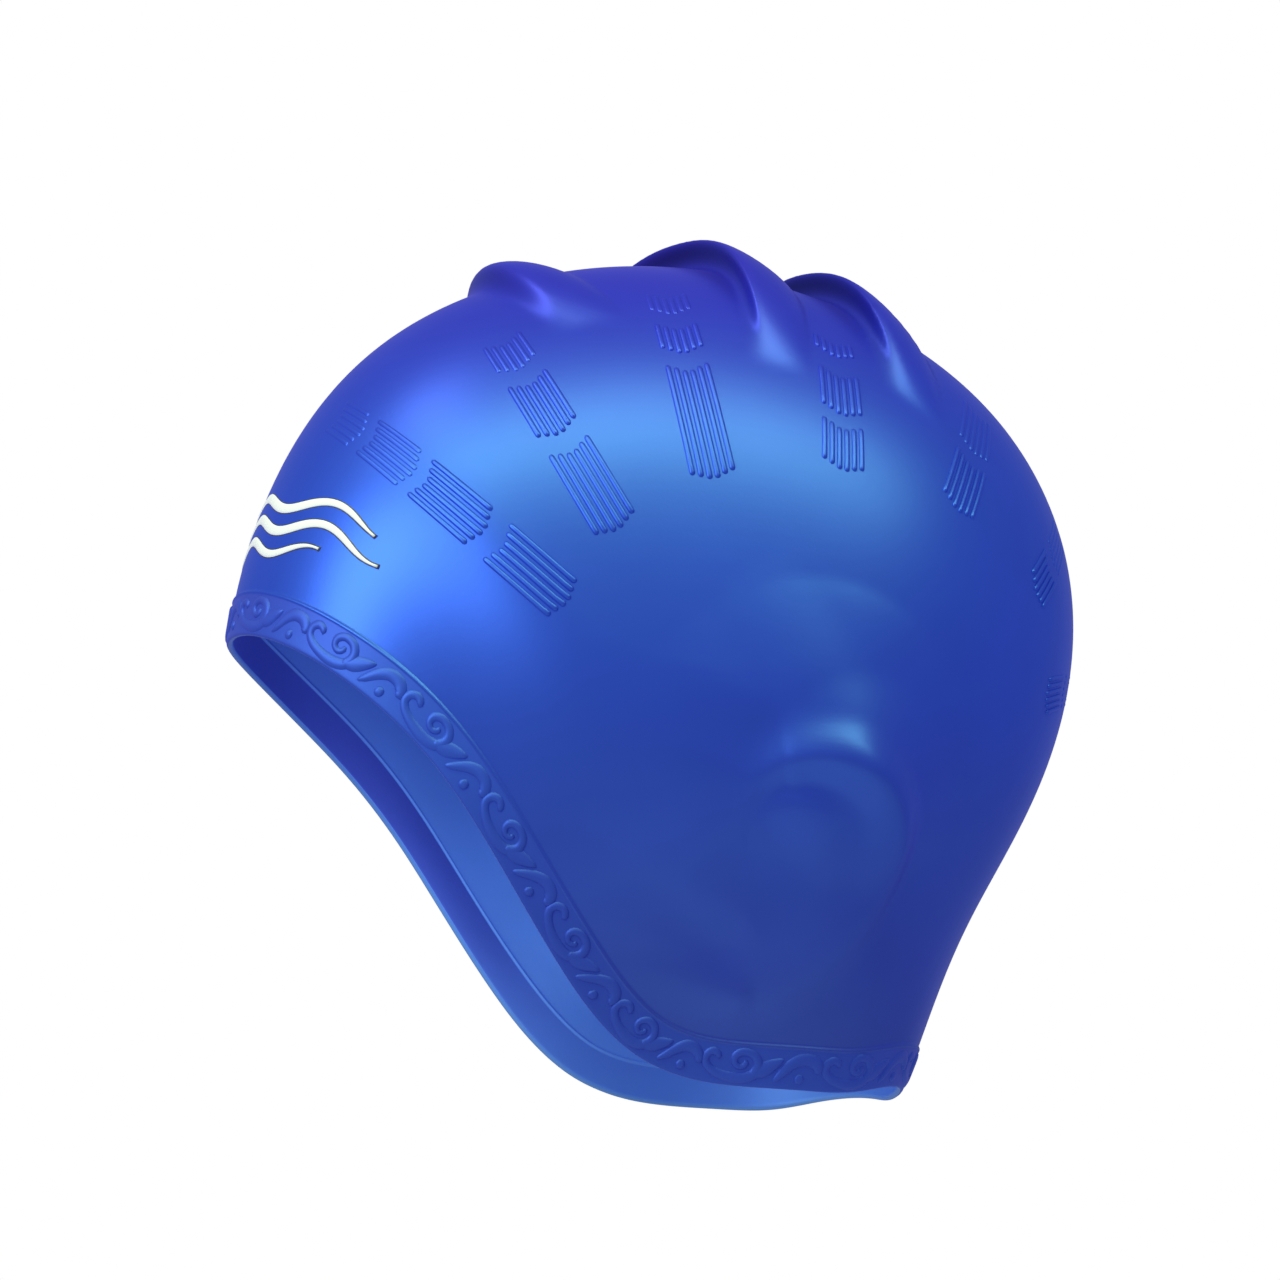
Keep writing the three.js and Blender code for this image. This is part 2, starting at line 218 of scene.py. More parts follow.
def shell_points(direction):
    """The plain outer face, without folds, ears and hem, in each direction from the centre."""
    across, back, up = np.moveaxis(direction, -1, 0)
    angle = np.degrees(np.arctan2(back, up))
    outline = table_values(OUTLINE.values(), (angle + 180) / OUTLINE_STEP, True)
    section = (np.hypot(back, up) / outline) ** FULLNESS + (np.abs(across) / HALF_WIDTH) ** FULLNESS
    radius = section ** (-1 / FULLNESS)
    azimuth = np.degrees(np.arctan2(across, -back))
    share = np.degrees(np.arccos(np.clip(up, -1, 1))) / rim_values(RIM_FALL, azimuth)
    draw = 1 - rim_values(RIM_TUCK, azimuth) * smooth((share - TUCK_FROM) / TUCK_OVER)
    return np.stack([across * draw, back, up], -1) * radius[..., None] + CENTRE


def normals_of(face, direction):
    """Outward normals of a face function, from its points a small step either way."""
    helper = np.where(np.abs(direction[..., :1]) < NEARLY_ALONG, [1.0, 0.0, 0.0], [0.0, 1.0, 0.0])
    first = unit(np.cross(helper, direction)) * NORMAL_STEP
    second = np.cross(direction, first)
    one = face(unit(direction + first)) - face(unit(direction - first))
    two = face(unit(direction + second)) - face(unit(direction - second))
    return unit(np.cross(one, two))


def fold_off(p, fold):
    """Distance behind a fold's crest, in millimetres, and the share of the way to its ends."""
    back, up = p[..., 1] - FOLD_FAN["y"], p[..., 2] - FOLD_FAN["z"]
    distance = np.hypot(back, up)
    across = np.clip(p[..., 0] / fold["reach"], -1, 1)
    along = np.abs(across)
    crest = fold["angle"] + fold["skew"] * np.sin(across * math.pi / 2) + fold["sweep"] * along**2
    return np.radians(np.degrees(np.arctan2(back, up)) - crest) * distance, along


def fold_profile(off, along, fold):
    """A fold's cross-section from 0 to 1, with its own width in front of the crest and behind it."""
    narrow = FOLD_END["width"] + (1 - FOLD_END["width"]) * (1 - along**2)
    front, back = fold["front"] * narrow, fold["back"] * narrow
    ahead = bump(np.maximum(off / front, -1), SOFT)
    behind = bump(np.minimum(off / back, 1), STEEP)
    return np.where(off < 0, ahead, behind)


def fold_rise(p):
    """Height of the folds above the shell, and how far their crests lean to the front."""
    back, up = p[..., 1] - FOLD_FAN["y"], p[..., 2] - FOLD_FAN["z"]
    distance = np.hypot(back, up)
    rise = np.zeros(p.shape[:-1])
    shift = np.zeros(p.shape[:-1])
    for fold in FOLDS:
        off, along = fold_off(p, fold)
        profile = fold_profile(off, along, fold)
        height = fold["height"] * (1 - along ** FOLD_END["late"]) ** FOLD_END["blunt"] * profile
        higher = height > rise
        rise = np.where(higher, height, rise)
        shift = np.where(higher, fold["lean"] * height / fold["height"] * np.sqrt(profile), shift)
    lean = np.stack([0 * back, -up / distance, back / distance], -1) * shift[..., None]
    return rise, lean


def fold_painted_shade(direction):
    """How deep points lie in the hollow under a fold's crest, from 0 to 1: the mask of the painted shade
    there.
    """
    p = shell_points(direction)
    deepest = np.zeros(p.shape[:-1])
    for fold in FOLDS:
        off, along = fold_off(p, fold)
        depth = bump(np.clip((off + PAINTED_HOLLOW["ahead"]) / PAINTED_HOLLOW["half"], -1, 1), ROUND) * (1 - along**2)
        deepest = np.maximum(deepest, depth * fold["height"] / PAINTED_HOLLOW["height"])
    return np.minimum(deepest, 1)


def bearing(p, form):
    """Distance from a form's middle on the side of the head, and the angle round it from the back."""
    back, up = p[..., 1] - form["y"], p[..., 2] - form["z"]
    return np.hypot(back, up), np.degrees(np.arctan2(up, back))


def dome_rise(p):
    """Height of the ear pocket's oval dome, crisp along its upper back edge and soft in front."""
    distance, around = bearing(p, DOME)
    off_long = np.radians(around - (90 - DOME["lean"]))
    share = distance * np.hypot(np.cos(off_long) / DOME["long"], np.sin(off_long) / DOME["short"])
    crisp = bump(np.clip((around - DOME_EDGE["at"]) / DOME_EDGE["half"], -1, 1), CRISP)
    share = np.minimum(share, 1)
    return DOME["bulge"] * bump(share, ROUND) + DOME["edge"] * crisp * (1 - share ** DOME_EDGE["steep"])


def line_rise(p, line):
    """A soft ridge or crease that fades from one end of a line to the other."""
    start, end = np.array(line["from"]), np.array(line["to"])
    flat = p[..., 1:] - start
    run = end - start
    share = np.clip((flat * run).sum(-1) / (run @ run), 0, 1)
    off = np.linalg.norm(flat - share[..., None] * run, axis=-1)
    return line["height"] * (1 - share) * bump(np.minimum(off / line["half"], 1), SOFT)


def round_rise(p, form):
    """A soft round hump or bowl."""
    distance, _ = bearing(p, form)
    return form["height"] * bump(np.minimum(distance / form["radius"], 1), SOFT)


def ear_rise(p):
    """Height of the ear pocket above the shell."""
    distance, around = bearing(p, EAR)
    columns = zip(EAR_COLUMNS, zip(*EAR_EDGE.values()))
    edge = {name: table_values(column, (around - EAR_FROM) / EAR_STEP, False) for name, column in columns}
    beyond = distance - edge["radius"]
    outside = bump(np.clip(beyond / edge["out"], 0, 1), SOFTEST)
    inside = bump(np.clip(beyond / edge["in"], -1, 0), SOFT)
    level = np.where(beyond > 0, outside, np.clip(distance / edge["radius"], 0, 1) ** EAR["dish"])
    crest = (edge["crest"] - edge["body"]) * np.where(beyond > 0, outside, inside)
    dip = edge["dip"] * bump(np.clip(1 + beyond / edge["in"], -1, 1), SOFT)
    rounds = sum(round_rise(p, form) for form in EAR_ROUNDS)
    lines = sum(line_rise(p, line) for line in EAR_LINES)
    side = smooth((np.abs(p[..., 0]) - EAR_FADE["from"]) / EAR_FADE["over"])
    return (dome_rise(p) + edge["body"] * level + crest - dip + rounds + lines) * side


def outer_points(direction):
    """The outer face with its folds and ear pockets."""
    p = shell_points(direction)
    fold, lean = fold_rise(p)
    rise = fold + ear_rise(p)
    normal = normals_of(shell_points, direction)
    return p + normal * rise[..., None] + lean


def rim_toward(azimuth):
    return toward(azimuth, rim_values(RIM_FALL, azimuth))


def above_rim(azimuth, distance):
    """Directions of the points that lie a distance up the shell from the rim, square to it."""
    edge = shell_points(rim_toward(azimuth))
    along = shell_points(rim_toward(azimuth + RIM_NUDGE)) - shell_points(rim_toward(azimuth - RIM_NUDGE))
    up_shell = unit(np.cross(along, normals_of(shell_points, rim_toward(azimuth))))
    up_shell *= np.where(up_shell[..., 2:] < 0, -1, 1)
    target = edge + up_shell * np.asarray(distance, float)[..., None]
    direction = rim_toward(azimuth)
    for _ in range(RIM_ROUNDS):
        here = shell_points(direction)
        reach = np.linalg.norm(here - CENTRE, axis=-1, keepdims=True)
        direction = unit(direction + (target - here) / reach)
    return direction


def raised(direction, height):
    """Points a height above the outer face."""
    return outer_points(direction) + normals_of(outer_points, direction) * np.asarray(height)[..., None]


def hem_face(side):
    """Rows of the hem on one face, from its top down: distance above the rim, depth below the outer face."""
    top = HEM["width"]
    heights = [top + row * HEM_LINE["half"] for row in HEM_LINE["rows"]]
    heights += list(np.linspace(top - HEM_BAND["below_top"], HEM_BAND["above_rim"], HEM_BAND["rows"]))
    rows = []
    for above in heights:
        line = HEM_LINE["height"] * float(bump(np.clip((above - top) / HEM_LINE["half"], -1, 1), ROUND))
        thick = HEM[side] * float(smooth((top + HEM["lead"] - above) / HEM["step"])) + line
        rows.append((above, -thick if side == "out" else WALL + thick))
    return rows


def hem_section():
    """The hem's cross-section from its top on the outer face, round the edge, to its top on the inner."""
    half = (WALL + HEM["out"] + HEM["in"]) / 2
    middle = half - HEM["out"]
    turns = np.radians(np.linspace(0, 180, EDGE_POINTS))
    edge = [(half * (1 - math.sin(t)), middle - half * math.cos(t)) for t in turns]
    return hem_face("out") + edge + hem_face("in")[::-1]


def hem_slots(rows):
    """Material slots of the hem's rows of faces, from its top on the outer face to its top on the inner one.

    The outer line looks like the outside, the inner line like the inside, and the edge's inner half is a
    painted highlight in the paler inside silicone.
    """
    middle = rows // 2
    slots = np.full(rows, OUTSIDE)
    slots[TOP_LINE_ROWS:middle] = HEM_OUTSIDE
    # Painted highlight: the edge's inner half in the paler inside silicone makes a light line along the rim.
    slots[middle:middle + EDGE_ROWS] = INSIDE
    slots[middle + EDGE_ROWS:-TOP_LINE_ROWS] = HEM_INSIDE
    slots[-TOP_LINE_ROWS:] = INSIDE
    return slots


def crown_patch(cells):
    """Directions of the square patch on the crown, cells + 1 points each way."""
    even = np.sqrt(2) * np.sin(np.radians(90 * np.arange(cells + 1) / cells - 45))
    x, y = np.meshgrid(even, even, indexing="ij")
    across, back = x * np.sqrt(1 - y**2 / 2), y * np.sqrt(1 - x**2 / 2)
    out = np.hypot(across, back)
    turn = np.arctan2(across, -back)
    azimuth = np.degrees(turn) + CROWDING * out**2 * np.sin(2 * turn)
    return toward(azimuth, CROWN_PATCH * out).reshape(-1, 3)


def patch_quads(cells):
    i, j = np.meshgrid(np.arange(cells), np.arange(cells), indexing="ij")
    corner = (i * (cells + 1) + j).ravel()
    return np.stack([corner, corner + cells + 1, corner + cells + 2, corner + 1], -1)


def patch_border(cells):
    """Indices of the patch's border points in order of azimuth from the face."""
    ramp = np.arange(cells)
    border = np.concatenate([
        ramp * (cells + 1), cells * (cells + 1) + ramp, (cells - ramp) * (cells + 1) + cells, cells - ramp,
    ])
    return np.roll(border, -(cells // 2))


def column_azimuths():
    even = 360 * np.arange(COLUMNS) / COLUMNS
    return even + CROWDING * np.sin(np.radians(2 * even))


def side_rings(rows, top_above):
    """Directions of the rings between the crown patch and the hem."""
    azimuth = column_azimuths()
    start = toward(azimuth, np.full_like(azimuth, CROWN_PATCH))
    end = above_rim(azimuth, np.full_like(azimuth, top_above))
    turn = np.arccos(np.clip((start * end).sum(-1), -1, 1))[None, :, None]
    share = (np.arange(1, rows + 1) / (rows + 1))[:, None, None]
    return unit(start * np.sin(turn * (1 - share)) + end * np.sin(turn * share))


def shell_rings(section):
    """Directions and heights of the rings down the outer face, round the hem and up the inner face."""
    azimuth = column_azimuths()
    outer = side_rings(OUTER_ROWS, section[0][0])
    hem = np.stack([above_rim(azimuth, np.full_like(azimuth, above)) for above, _ in section])
    inner = side_rings(INNER_ROWS, section[-1][0])[::-1]
    depths = [depth for _, depth in section]
    heights = np.concatenate([np.zeros(OUTER_ROWS), -np.array(depths), np.full(INNER_ROWS, -WALL)])
    return np.concatenate([outer, hem, inner]), heights


def shell_mesh():
    """The whole moulding as one closed mesh, with each point's painted shade in the fold hollows and each
    face's material slot.
    """
    cells = COLUMNS // 4
    section = hem_section()
    patch, crown, border = crown_patch(cells), patch_quads(cells), patch_border(cells)
    rings, heights = shell_rings(section)
    ends = len(patch)
    directions = np.concatenate([patch, rings.reshape(-1, 3), patch])
    heights = np.concatenate([np.zeros(ends), np.repeat(heights, COLUMNS), np.full(ends, -WALL)])
    inner_first = len(directions) - ends
    rows = np.arange(ends, inner_first).reshape(-1, COLUMNS)
    rows = np.vstack([border, rows, inner_first + border])
    corners = [rows[:-1], rows[1:], np.roll(rows[1:], -1, axis=1), np.roll(rows[:-1], -1, axis=1)]
    sides = np.stack(corners, -1).reshape(-1, 4)
    faces = np.concatenate([crown, sides, crown[:, ::-1] + inner_first])
    slots = np.concatenate([
        np.full(len(crown) + OUTER_ROWS * COLUMNS, OUTSIDE), np.repeat(hem_slots(len(section)), COLUMNS),
        np.full(len(crown) + (INNER_ROWS + 1) * COLUMNS, INSIDE),
    ])
    return raised(directions, heights), faces, fold_painted_shade(directions), slots.astype(np.int32)


def make_piece(name, points, faces, material):
    """A smooth-shaded mesh object from points in millimetres, riding on the cap's only body."""
    mesh = bpy.data.meshes.new(name)
    mesh.from_pydata((points * MM).tolist(), [], [f if isinstance(f, list) else f.tolist() for f in faces])
    mesh.validate()
    mesh.shade_smooth()
    mesh.materials.append(material)
    piece = bpy.data.objects.new(name, mesh)
    bpy.context.scene.collection.objects.link(piece)
    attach(piece, BODY)
    return piece


# Raised strokes: ribs, ornament and print are strips with a rounded section along a line on the cap. Their
# sides start a little below the surface, and their floor is further down.

STROKE_SINK = 0.12
STROKE_FLOOR = 2.5 * STROKE_SINK
SECTION_STEPS = 7


def stroke_faces(n):
    """Faces of a strip of n stations, each with a section's points, and one floor point after them all."""
    faces = []
    for i in range(n - 1):
        for k in range(SECTION_STEPS - 1):
            a = i * SECTION_STEPS + k
            faces.append([a, a + SECTION_STEPS, a + SECTION_STEPS + 1, a + 1])
        a, b = i * SECTION_STEPS, n * SECTION_STEPS + i
        faces.append([a + SECTION_STEPS - 1, a + 2 * SECTION_STEPS - 1, b + 1, b])
        faces.append([b, b + 1, a + SECTION_STEPS, a])
    for i, turn in ((0, 1), (n - 1, -1)):
        loop = [i * SECTION_STEPS + k for k in range(SECTION_STEPS)] + [n * SECTION_STEPS + i]
        faces.append(loop[::turn])
    return faces


def stroke(path, half_width, height, place):
    """A closed strip along a path of 2-D points, rounded in section.

    place(points, heights) gives the 3-D points. half_width and height are arrays along the path.
    """
    tangent = unit(np.gradient(path, axis=0))
    side = np.stack([-tangent[:, 1], tangent[:, 0]], -1)
    turns = np.linspace(0, math.pi, SECTION_STEPS)
    flat = path[:, None] + side[:, None] * (half_width[:, None] * np.cos(turns))[..., None]
    lift = height[:, None] * np.sin(turns) - STROKE_SINK
    points = place(flat.reshape(-1, 2), lift.ravel())
    floor = place(path, np.full(len(path), -STROKE_FLOOR))
    return np.concatenate([points, floor]), stroke_faces(len(path))


def join(strips):
    points, faces, first = [], [], 0
    for p, f in strips:
        points.append(p)
        faces += [[i + first for i in face] for face in f]
        first += len(p)
    return np.concatenate(points), faces


# The ribs stand in rows that fan out from a line through the ear pockets. Fan is a row's angle backwards
# from straight up at its top and its bottom end, blocks are its ribbed stretches by angle off the middle.
# On the right the folds run across the tops of two rows, so those rows start lower there.

RIB_FAN = np.array([0.0, 8.0, -134.0])
RIB_ROWS = [
    {"fan": (-46.3, -49.2), "blocks": [(10, 15), (16.6, 23.5), (25, 33.6), (36, 46)]},
    {"fan": (-28.2, -32.4), "blocks": [(18.3, 22.3), (24.3, 31), (33.2, 43.5)]},
    {"fan": (-9.2, -12.2), "right_from": 27, "blocks": [(16.8, 19.8), (22.0, 25.6), (27.8, 41.5)]},
    {"fan": (7.8, 12.2), "right_from": 25, "blocks": [(20.5, 22.8), (25.7, 31.3), (33, 38.7)]},
    {"fan": (28.5, 33.8), "blocks": [(17, 25), (27, 34.8)]},
    {"fan": (47, 55), "blocks": [(14, 21.5), (23.5, 29.5)]},
    {"fan": (68, 68), "blocks": [(14, 20), (21.5, 29)]},
]
# Rows and the pitch between ribs widen from one angle off the middle to another.
RIB_SPREAD = {"angles": (10.0, 45.0), "pitch": (1.3, 2.2)}
RIB = {"count": 6, "share": 0.37, "height": 0.6, "point": 2.0}
# A rib swells a little near its lower end. Blocks that start near the middle are fainter.
RIB_BULB = {"size": 1.05, "length": 3, "over": 2}
RIB_FAINT = {"share": 0.4, "from": 13, "over": 12}
# Stations of a rib: by turns of its round ends, and then about a length apart.
RIB_END = {"turns": (0, 15, 35, 60, 90), "least": 0.15}
RIB_STATION = {"length": 1.4, "least": 3}
# The length of a ray from the fan line to the shell: the one that turns millimetres along a row into angles,
# and the search's first guess, its rounds and the least slant that it allows for.
RIB_REACH = 112.0
FAN_SEARCH = {"reach": 100.0, "rounds": 8, "slant": 0.3}


def fan_directions(fan, lateral):
    """Directions from the centre to the shell points seen from the ribs' fan line at these angles."""
    a, b = np.radians(fan), np.radians(lateral)
    ray = np.stack([np.sin(b), np.cos(b) * np.sin(a), np.cos(b) * np.cos(a)], -1)
    reach = np.full(a.shape, FAN_SEARCH["reach"])
    for _ in range(FAN_SEARCH["rounds"]):
        q = RIB_FAN + ray * reach[..., None]
        direction = unit(q - CENTRE)
        miss = np.linalg.norm(shell_points(direction) - CENTRE, axis=-1) - np.linalg.norm(q - CENTRE, axis=-1)
        reach = reach + miss / np.maximum((ray * direction).sum(-1), FAN_SEARCH["slant"])
    return direction


def place_in_fan(fan, side):
    """Placer for 2-D points in millimetres, out along a rib row from the cap's middle plane and across it."""
    def place(points, heights):
        at = np.degrees(points[:, 0] / RIB_REACH)
        middle = np.interp(at, RIB_SPREAD["angles"], fan)
        across = np.degrees(points[:, 1] / (RIB_REACH * np.cos(np.radians(at))))
        direction = fan_directions(middle + across, at) * np.array([side, 1, 1])
        return raised(direction, heights)
    return place


def rib_stations(length, end):
    """Stations along a rib, and its share of full width there, closing in a half circle at both ends."""
    turns = np.radians(RIB_END["turns"])
    cap_at = end * (1 - np.cos(turns))
    cap_share = np.maximum(np.sin(turns), RIB_END["least"])
    count = max(RIB_STATION["least"], int(length / RIB_STATION["length"]))
    middle = np.linspace(end, length - end, count)[1:-1]
    at = np.concatenate([cap_at, middle, length - cap_at[::-1]])
    return at, np.concatenate([cap_share, np.ones(len(middle)), cap_share[::-1]])


def rib_strip(place, start, end, number):
    """One rib of a block. The middle ribs sit lower, so a block is notched on top and ends in a point."""
    middle = (RIB["count"] - 1) / 2
    first, last = math.radians(start) * RIB_REACH, math.radians(end) * RIB_REACH
    point = RIB["point"] * (1 - abs(number - middle) / middle)
    at, share = rib_stations(last - first, RIB["share"] * RIB_SPREAD["pitch"][1])
    along = first + point + at
    pitch = np.interp(np.degrees(along / RIB_REACH), RIB_SPREAD["angles"], RIB_SPREAD["pitch"])
    bulb = 1 + (RIB_BULB["size"] - 1) * smooth((at - at[-1] + RIB_BULB["length"]) / RIB_BULB["over"])
    nearness = smooth((start - RIB_FAINT["from"]) / RIB_FAINT["over"])
    faint = RIB_FAINT["share"] + (1 - RIB_FAINT["share"]) * nearness
    path = np.stack([along, (number - middle) * pitch], -1)
    return stroke(path, RIB["share"] * pitch * share * bulb, RIB["height"] * faint * share * bulb, place)


def rib_strips():
    strips = []
    for side in (1, -1):
        for row in RIB_ROWS:
            place = place_in_fan(row["fan"], side)
            for start, end in row["blocks"]:
                if side < 0 and start < row.get("right_from", 0):
                    continue
                for number in range(RIB["count"]):
                    points, faces = rib_strip(place, start, end, number)
                    strips.append((points, faces if side > 0 else [f[::-1] for f in faces]))
    return strips


# The hem ornament: one unit of cloud scroll, repeated round the band. Points are millimetres along the
# rim and up from it, with the stroke's half width, which broader multiplies.

SCROLL = {
    "lyre": [
        (2.3, 6.2, 0.5), (1.9, 7.4, 0.75), (0.5, 8.0, 0.85), (-0.9, 7.0, 0.85), (-1.0, 5.2, 0.85),
        (0.6, 3.6, 0.9), (3.6, 2.5, 1.0), (7.4, 2.2, 1.15), (10.6, 3.2, 1.1), (11.6, 5.8, 0.95),
        (10.4, 8.0, 0.9), (7.9, 8.6, 0.85), (6.1, 7.4, 0.8), (6.2, 5.7, 0.7), (7.6, 4.9, 0.65),
        (8.8, 5.8, 0.6), (8.3, 6.7, 0.5),
    ],
    "leaf": [(9.6, 3.2, 0.6), (12.4, 4.3, 1.5), (15.0, 6.0, 1.2), (17.4, 7.6, 0.3)],
    "hump": [
        (15.2, 1.8, 0.35), (16.8, 3.6, 0.8), (18.8, 6.0, 1.1), (21.2, 7.6, 1.25), (23.8, 7.4, 1.25),
        (25.2, 5.8, 1.1), (24.9, 4.4, 0.7),
    ],
    "dot": [(20.0, 2.8, 0.8), (20.8, 2.8, 1.0), (21.6, 2.9, 1.0), (22.4, 2.9, 0.8)],
}
SCROLL_SIZE = {"pitch": 28.0, "height": 0.6, "broader": 1.4, "step": 0.7}
# A stroke's ends round off over a length, from a least share. Thin strokes are lower, between two shares.
SCROLL_END = {"over": 0.5, "least": 0.05}
SCROLL_THIN = (0.4, 1)
RIM_SAMPLES = 1441


def smooth_path(rows, step):
    """Catmull-Rom curve through rows of numbers, sampled at about even steps."""
    p = np.array(rows, float)
    p = np.concatenate([[2 * p[0] - p[1]], p, [2 * p[-1] - p[-2]]])
    out = []
    for a, b, c, d in zip(p, p[1:], p[2:], p[3:]):
        n = max(2, int(np.hypot(*(c - b)[:2]) / step) + 1)
        t = np.linspace(0, 1, n, endpoint=False)[:, None]
        curve = 2 * b + (c - a) * t + (2 * a - 5 * b + 4 * c - d) * t**2 + (3 * b - a - 3 * c + d) * t**3
        out.append(curve / 2)
    return np.concatenate(out + [p[-2:-1]])


def rim_lengths():
    """Azimuths round the rim and the length of rim up to each."""
    azimuth = np.linspace(-180, 180, RIM_SAMPLES)
    points = shell_points(rim_toward(azimuth))
    steps = np.linalg.norm(np.diff(points, axis=0), axis=-1)
    return azimuth, np.concatenate([[0], np.cumsum(steps)])


RIM_AZIMUTHS, RIM_LENGTHS = rim_lengths()


def place_on_hem(points, heights):
    """Placer for 2-D points in millimetres along the rim from the back and up from it."""
    along = points[:, 0] % RIM_LENGTHS[-1]
    azimuth = np.interp(along, RIM_LENGTHS, RIM_AZIMUTHS)
    return raised(above_rim(azimuth, points[:, 1]), heights)


def scroll_strip(rows, first, stretch):
    """One stroke of the scroll unit that starts at this length along the rim before stretching."""
    path = smooth_path(rows, SCROLL_SIZE["step"])
    half = path[:, 2] * SCROLL_SIZE["broader"]
    xy = np.stack([(path[:, 0] + first) * stretch, path[:, 1]], -1)
    reach = np.concatenate([[0], np.cumsum(np.hypot(*np.diff(xy, axis=0).T))])
    from_end = np.minimum(reach, reach[-1] - reach)
    round_off = np.sqrt(np.clip(from_end / SCROLL_END["over"], SCROLL_END["least"], 1))
    height = HEM["out"] + SCROLL_SIZE["height"] * round_off * np.clip(half, *SCROLL_THIN)
    return stroke(xy, half * round_off, height, place_on_hem)


def scroll_strips():
    pitch = SCROLL_SIZE["pitch"]
    units = round(RIM_LENGTHS[-1] / pitch)
    stretch = RIM_LENGTHS[-1] / units / pitch
    return [scroll_strip(rows, k * pitch, stretch) for k in range(units) for rows in SCROLL.values()]


# The print at the front: plain wave lines, each a pale ink line on a slightly wider dark one.

WAVES = [
    {"above": 34.0, "from": -30.0, "to": 44.0},
    {"above": 28.0, "from": -42.0, "to": 48.0},
    {"above": 22.0, "from": -48.0, "to": 34.0},
]
WAVE = {"length": 26.0, "swing": 2.0, "half": 1.5, "edge": 0.35, "step": 0.8, "tips": (0.02, 0.98)}
INK = {"dark": 0.1, "pale": 0.12}


def wave_strips(margin, lift):
    front = np.interp(0, RIM_AZIMUTHS, RIM_LENGTHS)
    strips = []
    for wave in WAVES:
        x = np.arange(wave["from"] - margin, wave["to"] + margin, WAVE["step"])
        share = (x - x[0]) / (x[-1] - x[0])
        half = WAVE["half"] * np.sqrt(np.sin(math.pi * np.clip(share, *WAVE["tips"]))) + margin
        y = wave["above"] + WAVE["swing"] * np.sin(2 * math.pi * x / WAVE["length"])
        height = np.full(len(x), lift + STROKE_SINK)
        strips.append(stroke(np.stack([x + front, y], -1), half, height, place_on_hem))
    return strips


# The silicone's looks on the outer face, the inner face, and the hem's band inside and outside, as lit and
# shaded copies of one silicone. Blues are by height, as shares of the way from the lowest to the highest
# level, which are in metres, and carry painted shade and light.

LEVELS = {"lowest": -0.2, "highest": 0.01}
OUTSIDE, INSIDE, HEM_INSIDE, HEM_OUTSIDE = range(4)
SILICONES = [
    {
        "name": "pearl_silicone", "roughness": 0.38, "metallic": 0.75,
        # Deep blue, darker and more violet at the crown and darker low down: painted shade.
        "blues": [
            (0.0, (0.045, 0.08, 0.47)), (0.35, (0.035, 0.099, 0.69)), (0.68, (0.032, 0.114, 0.77)),
            (0.86, (0.047, 0.064, 0.82)), (1.0, (0.062, 0.04, 0.8)),
        ],
    },
    {
        "name": "pearl_silicone_inside", "roughness": 0.55, "metallic": 0.2,
        # Paler than the outer face: painted light for the light that the thin wall lets through, darker
        # towards the top as painted shade.
        "blues": [(0.0, (0.1, 0.24, 0.68)), (0.27, (0.13, 0.33, 0.88)), (0.5, (0.06, 0.14, 0.56))],
    },
    {
        "name": "pearl_silicone_hem_inside", "roughness": 0.5, "metallic": 0.4,
        # Lighter low down and darker towards the top: painted shade.
        "blues": [(0.05, (0.11, 0.27, 0.75)), (0.22, (0.06, 0.1, 0.52)), (0.45, (0.04, 0.065, 0.44))],
    },
    {
        "name": "pearl_silicone_hem_outside", "roughness": 0.5, "metallic": 0.5,
        # A darker, then a lighter stretch up the band: painted shade and light.
        "blues": [
            (0.03, (0.035, 0.085, 0.6)), (0.22, (0.028, 0.06, 0.5)), (0.42, (0.036, 0.115, 0.74)),
            (0.57, (0.036, 0.062, 0.56)),
        ],
    },
]
GLOSS = {
    "Specular Tint": (0.45, 0.68, 1.0, 1), "Sheen Weight": 0.12, "Sheen Roughness": 0.5,
    "Sheen Tint": (0.3, 0.2, 1.0, 1),
}
CLOUD = {"scale": 22.0, "detail": 3.0, "darkest": 0.88, "lightest": 1.12}
GRAIN = {"scale": 1400.0, "strength": 0.12, "depth": 0.00012}
# Painted shade in the fold hollows: the point attribute that carries it, and the share of the base colour
# left where it is darkest.
HOLLOW_ATTRIBUTE = "fold_painted_shade"
HOLLOW_SHADE = 0.25


def principled(name, color, roughness, metallic=0.0):
    material = bpy.data.materials.new(name)
    material.use_nodes = True
    shader = material.node_tree.nodes["Principled BSDF"]
    shader.inputs["Base Color"].default_value = (*color, 1)
    shader.inputs["Roughness"].default_value = roughness
    shader.inputs["Metallic"].default_value = metallic
    return material, shader


def add_node(tree, kind, inputs, **settings):
    """A new node with its settings, whose inputs are numbers or other nodes' output sockets."""
    node = tree.nodes.new(kind)
    for name, value in settings.items():
        setattr(node, name, value)
    for socket, value in inputs.items():
        if isinstance(value, bpy.types.NodeSocket):
            tree.links.new(value, node.inputs[socket])
        else:
            node.inputs[socket].default_value = value
    return node


# Base colour from a ramp of blues by height: the silicone's blue with painted shade and light in it.
def blue_with_painted_shade(tree, place, blues):
    split = add_node(tree, "ShaderNodeSeparateXYZ", {0: place})
    levels = {"Value": split.outputs["Z"], "From Min": LEVELS["lowest"], "From Max": LEVELS["highest"]}
    height = add_node(tree, "ShaderNodeMapRange", levels)
    colors = add_node(tree, "ShaderNodeValToRGB", {"Fac": height.outputs["Result"]})
    colors.color_ramp.interpolation = "B_SPLINE"
    stops = colors.color_ramp.elements
    while len(stops) < len(blues):
        stops.new(0.5)
    for stop, (at, color) in zip(stops, blues):
        stop.position = at
        stop.color = (*color, 1)
    return colors.outputs["Color"]


def factor_from(tree, share, low, high):
    """A factor that goes from low to high as a share goes from 0 to 1."""
    scaled = add_node(tree, "ShaderNodeMapRange", {"Value": share, "To Min": low, "To Max": high})
    return scaled.outputs["Result"]


